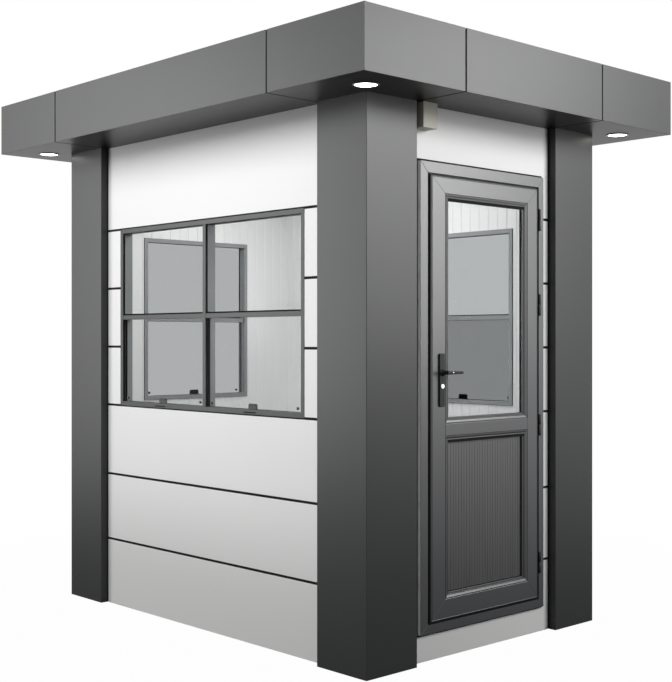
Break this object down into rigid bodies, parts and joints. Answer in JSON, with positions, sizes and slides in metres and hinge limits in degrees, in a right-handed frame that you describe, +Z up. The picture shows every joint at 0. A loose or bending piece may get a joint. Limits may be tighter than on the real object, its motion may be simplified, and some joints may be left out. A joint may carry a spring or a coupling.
{
  "type": "security guard booth",
  "caption": "Flat-roofed guard booth with dark folded corner columns and fascia, white board cladding, sliding windows on the front, rear and left side, and a part-glazed door on the right.",
  "frame": {"origin": "on the ground, under the middle of the booth", "axes": "+Z up; the window front faces -Y and the door side faces +X"},
  "size_m": [2.826, 2.056, 2.614],
  "materials": {
    "cladding_white": "satin white coating",
    "anthracite_sheet": "satin powder coat",
    "wall_core": "matt black facing",
    "lining_white": "matt white boards",
    "galvanised_steel": "galvanised",
    "floor_board": "grey vinyl on board",
    "roof_sheet": "matt dark coating",
    "window_frame": "anthracite powder coat",
    "window_glass": "clear",
    "door_frame": "anthracite satin profile",
    "door_panel": "anthracite ribbed board",
    "black_rubber": "matt",
    "black_fittings": "satin black",
    "hinge_black": "satin black",
    "lever_metal": "satin dark coating",
    "cylinder_steel": "polished",
    "lamp_lens": "frosted, white",
    "lamp_ring": "satin",
    "box_plastic": "pale grey plastic"
  },
  "bodies": {
    "cabin": {"base_rails": "galvanised_steel", "base_joists": "galvanised_steel", "floor_deck": "floor_board", "corner_posts": "galvanised_steel", "ceiling_panel": "lining_white", "roof_panel": "roof_sheet", "roof_curbs": "roof_sheet", "fascia_corners": "anthracite_sheet", "fascia_middles": "anthracite_sheet", "downlight_rings": "lamp_ring", "downlight_lenses": "lamp_lens", "column_front_right": "anthracite_sheet", "column_front_left": "anthracite_sheet", "column_rear_right": "anthracite_sheet", "column_rear_left": "anthracite_sheet", "front_wall": "wall_core", "rear_wall": "wall_core", "left_wall": "wall_core", "door_wall": "wall_core", "front_cladding": "cladding_white", "rear_cladding": "cladding_white", "left_cladding": "cladding_white", "door_wall_cladding": "cladding_white", "wall_lining": "lining_white", "front_window_frame": "window_frame", "rear_window_frame": "window_frame", "left_window_frame": "window_frame", "front_window_panes": "window_glass", "rear_window_panes": "window_glass", "left_window_panes": "window_glass", "window_meeting_rails": "window_frame", "window_latch_tabs": "black_fittings", "window_pane_pegs": "black_fittings", "door_frame": "door_frame", "door_seal": "black_rubber", "junction_box": "box_plastic", "hinge_frame_halves": "hinge_black"},
    "door_leaf": {"door_leaf_frame": "door_frame", "door_glazing_beads": "door_frame", "door_glass": "window_glass", "door_ribbed_panel": "door_panel", "hinge_leaf_halves": "hinge_black", "handle_plates": "lever_metal", "lock_cylinder": "cylinder_steel"},
    "door_lever": {"lever_handle": "lever_metal"}
  },
  "joints": [
    {"name": "door_hinge", "type": "hinge", "parent": "cabin", "child": "door_leaf", "pos_m": [1.129, 0.37, 1.119], "axis": [0, 0, 1], "range_deg": [0, 100]},
    {"name": "lever_turn", "type": "hinge", "parent": "door_leaf", "child": "door_lever", "pos_m": [1.13, -0.305, 1.224], "axis": [-1, 0, 0], "range_deg": [0, 40], "stiffness_Nm_per_rad": 1.2, "springref_deg": -20.05}
  ]
}
